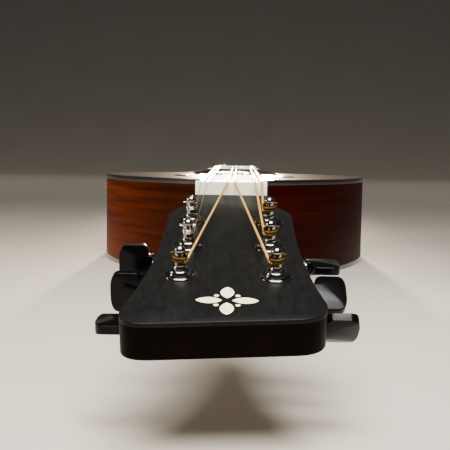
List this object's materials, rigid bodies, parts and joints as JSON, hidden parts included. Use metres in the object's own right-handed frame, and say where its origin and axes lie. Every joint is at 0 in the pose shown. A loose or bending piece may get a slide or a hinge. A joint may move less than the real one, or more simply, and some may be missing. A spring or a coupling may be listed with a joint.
{
  "type": "bouzouki",
  "caption": "Long-necked bouzouki with a flat back, three double courses, pitched headstock with worm tuners, floating bridge and tailpiece.",
  "frame": {"origin": "under the middle of the whole instrument, on the plane that its flat back lies on", "axes": "+Z out of the soundboard, -Y from the body to the headstock, +X towards the bass strings"},
  "size_m": [0.332, 0.9698, 0.1158],
  "materials": {
    "spruce": "satin lacquer",
    "red_brown_wood": "gloss lacquer",
    "dark_neck": "gloss lacquer",
    "ebony": "oiled",
    "black_trim": "gloss",
    "guard": "gloss",
    "bone": "polished",
    "black_face": "satin lacquer",
    "pearl": "polished",
    "chrome": "polished",
    "steel": "polished",
    "brass": "machined",
    "bronze": "wound wire",
    "black_casting": "semi-gloss",
    "black_button": "gloss"
  },
  "bodies": {
    "instrument": {"soundboard": "spruce", "rosette": "black_trim", "back_plate": "red_brown_wood", "rib_bass": "red_brown_wood", "rib_treble": "red_brown_wood", "bindings": "black_trim", "linings": "spruce", "neck_block": "red_brown_wood", "tail_block": "red_brown_wood", "braces": "spruce", "pickguard": "guard", "bridge": "ebony", "saddle": "bone", "tailpiece": "chrome", "tailpiece_screws": "steel", "end_pin": "ebony", "neck_shaft": "dark_neck", "neck_heel": "dark_neck", "neck_bolts": "steel", "neck_inserts": "steel", "headstock": "dark_neck", "head_veneer": "black_face", "head_inlay": "pearl", "nut": "bone", "fingerboard": "ebony", "frets": "steel", "fret_dots": "pearl", "truss_rod": "steel", "wound_strings": "bronze", "plain_strings": "steel", "tuner_housings": "black_casting", "tuner_covers": "chrome", "post_bushings": "chrome", "post_washers": "chrome", "tuner_screws": "steel"},
    "shaft_bass_1": {"worm_bass_1": "steel", "button_bass_1": "black_button"},
    "peg_bass_1": {"post_bass_1": "chrome", "gear_bass_1": "brass"},
    "shaft_bass_2": {"worm_bass_2": "steel", "button_bass_2": "black_button"},
    "peg_bass_2": {"post_bass_2": "chrome", "gear_bass_2": "brass"},
    "shaft_bass_3": {"worm_bass_3": "steel", "button_bass_3": "black_button"},
    "peg_bass_3": {"post_bass_3": "chrome", "gear_bass_3": "brass"},
    "shaft_treble_1": {"worm_treble_1": "steel", "button_treble_1": "black_button"},
    "peg_treble_1": {"post_treble_1": "chrome", "gear_treble_1": "brass"},
    "shaft_treble_2": {"worm_treble_2": "steel", "button_treble_2": "black_button"},
    "peg_treble_2": {"post_treble_2": "chrome", "gear_treble_2": "brass"},
    "shaft_treble_3": {"worm_treble_3": "steel", "button_treble_3": "black_button"},
    "peg_treble_3": {"post_treble_3": "chrome", "gear_treble_3": "brass"},
    "rod_nut": {"truss_nut": "brass"}
  },
  "joints": [
    {"name": "turn_button_bass_1", "type": "hinge", "parent": "instrument", "child": "shaft_bass_1", "pos_m": [0.04075, -0.37039, 0.06824], "axis": [1, 0, 0], "continuous": true},
    {"name": "turn_post_bass_1", "type": "hinge", "parent": "instrument", "child": "peg_bass_1", "pos_m": [0.02075, -0.37085, 0.09162], "axis": [0, -0.2756, 0.9613], "continuous": true},
    {"name": "turn_button_bass_2", "type": "hinge", "parent": "instrument", "child": "shaft_bass_2", "pos_m": [0.04035, -0.40452, 0.05846], "axis": [1, 0, 0], "continuous": true},
    {"name": "turn_post_bass_2", "type": "hinge", "parent": "instrument", "child": "peg_bass_2", "pos_m": [0.02035, -0.40498, 0.08184], "axis": [0, -0.2756, 0.9613], "continuous": true},
    {"name": "turn_button_bass_3", "type": "hinge", "parent": "instrument", "child": "shaft_bass_3", "pos_m": [0.042, -0.43864, 0.04867], "axis": [1, 0, 0], "continuous": true},
    {"name": "turn_post_bass_3", "type": "hinge", "parent": "instrument", "child": "peg_bass_3", "pos_m": [0.022, -0.4391, 0.07205], "axis": [0, -0.2756, 0.9613], "continuous": true},
    {"name": "turn_button_treble_1", "type": "hinge", "parent": "instrument", "child": "shaft_treble_1", "pos_m": [-0.04075, -0.37039, 0.06824], "axis": [-1, 0, 0], "continuous": true},
    {"name": "turn_post_treble_1", "type": "hinge", "parent": "instrument", "child": "peg_treble_1", "pos_m": [-0.02075, -0.37085, 0.09162], "axis": [0, -0.2756, 0.9613], "continuous": true},
    {"name": "turn_button_treble_2", "type": "hinge", "parent": "instrument", "child": "shaft_treble_2", "pos_m": [-0.04035, -0.40452, 0.05846], "axis": [-1, 0, 0], "continuous": true},
    {"name": "turn_post_treble_2", "type": "hinge", "parent": "instrument", "child": "peg_treble_2", "pos_m": [-0.02035, -0.40498, 0.08184], "axis": [0, -0.2756, 0.9613], "continuous": true},
    {"name": "turn_button_treble_3", "type": "hinge", "parent": "instrument", "child": "shaft_treble_3", "pos_m": [-0.042, -0.43864, 0.04867], "axis": [-1, 0, 0], "continuous": true},
    {"name": "turn_post_treble_3", "type": "hinge", "parent": "instrument", "child": "peg_treble_3", "pos_m": [-0.022, -0.4391, 0.07205], "axis": [0, -0.2756, 0.9613], "continuous": true},
    {"name": "turn_truss_nut", "type": "hinge", "parent": "instrument", "child": "rod_nut", "pos_m": [0, 0.09682, 0.0975], "axis": [0, 1, 0], "range_deg": [-180, 180]}
  ],
  "couplings": [
    {"joint": "turn_post_bass_1", "follows": "turn_button_bass_1", "ratio": -0.071429},
    {"joint": "turn_post_bass_2", "follows": "turn_button_bass_2", "ratio": -0.071429},
    {"joint": "turn_post_bass_3", "follows": "turn_button_bass_3", "ratio": -0.071429},
    {"joint": "turn_post_treble_1", "follows": "turn_button_treble_1", "ratio": -0.071429},
    {"joint": "turn_post_treble_2", "follows": "turn_button_treble_2", "ratio": -0.071429},
    {"joint": "turn_post_treble_3", "follows": "turn_button_treble_3", "ratio": -0.071429}
  ]
}
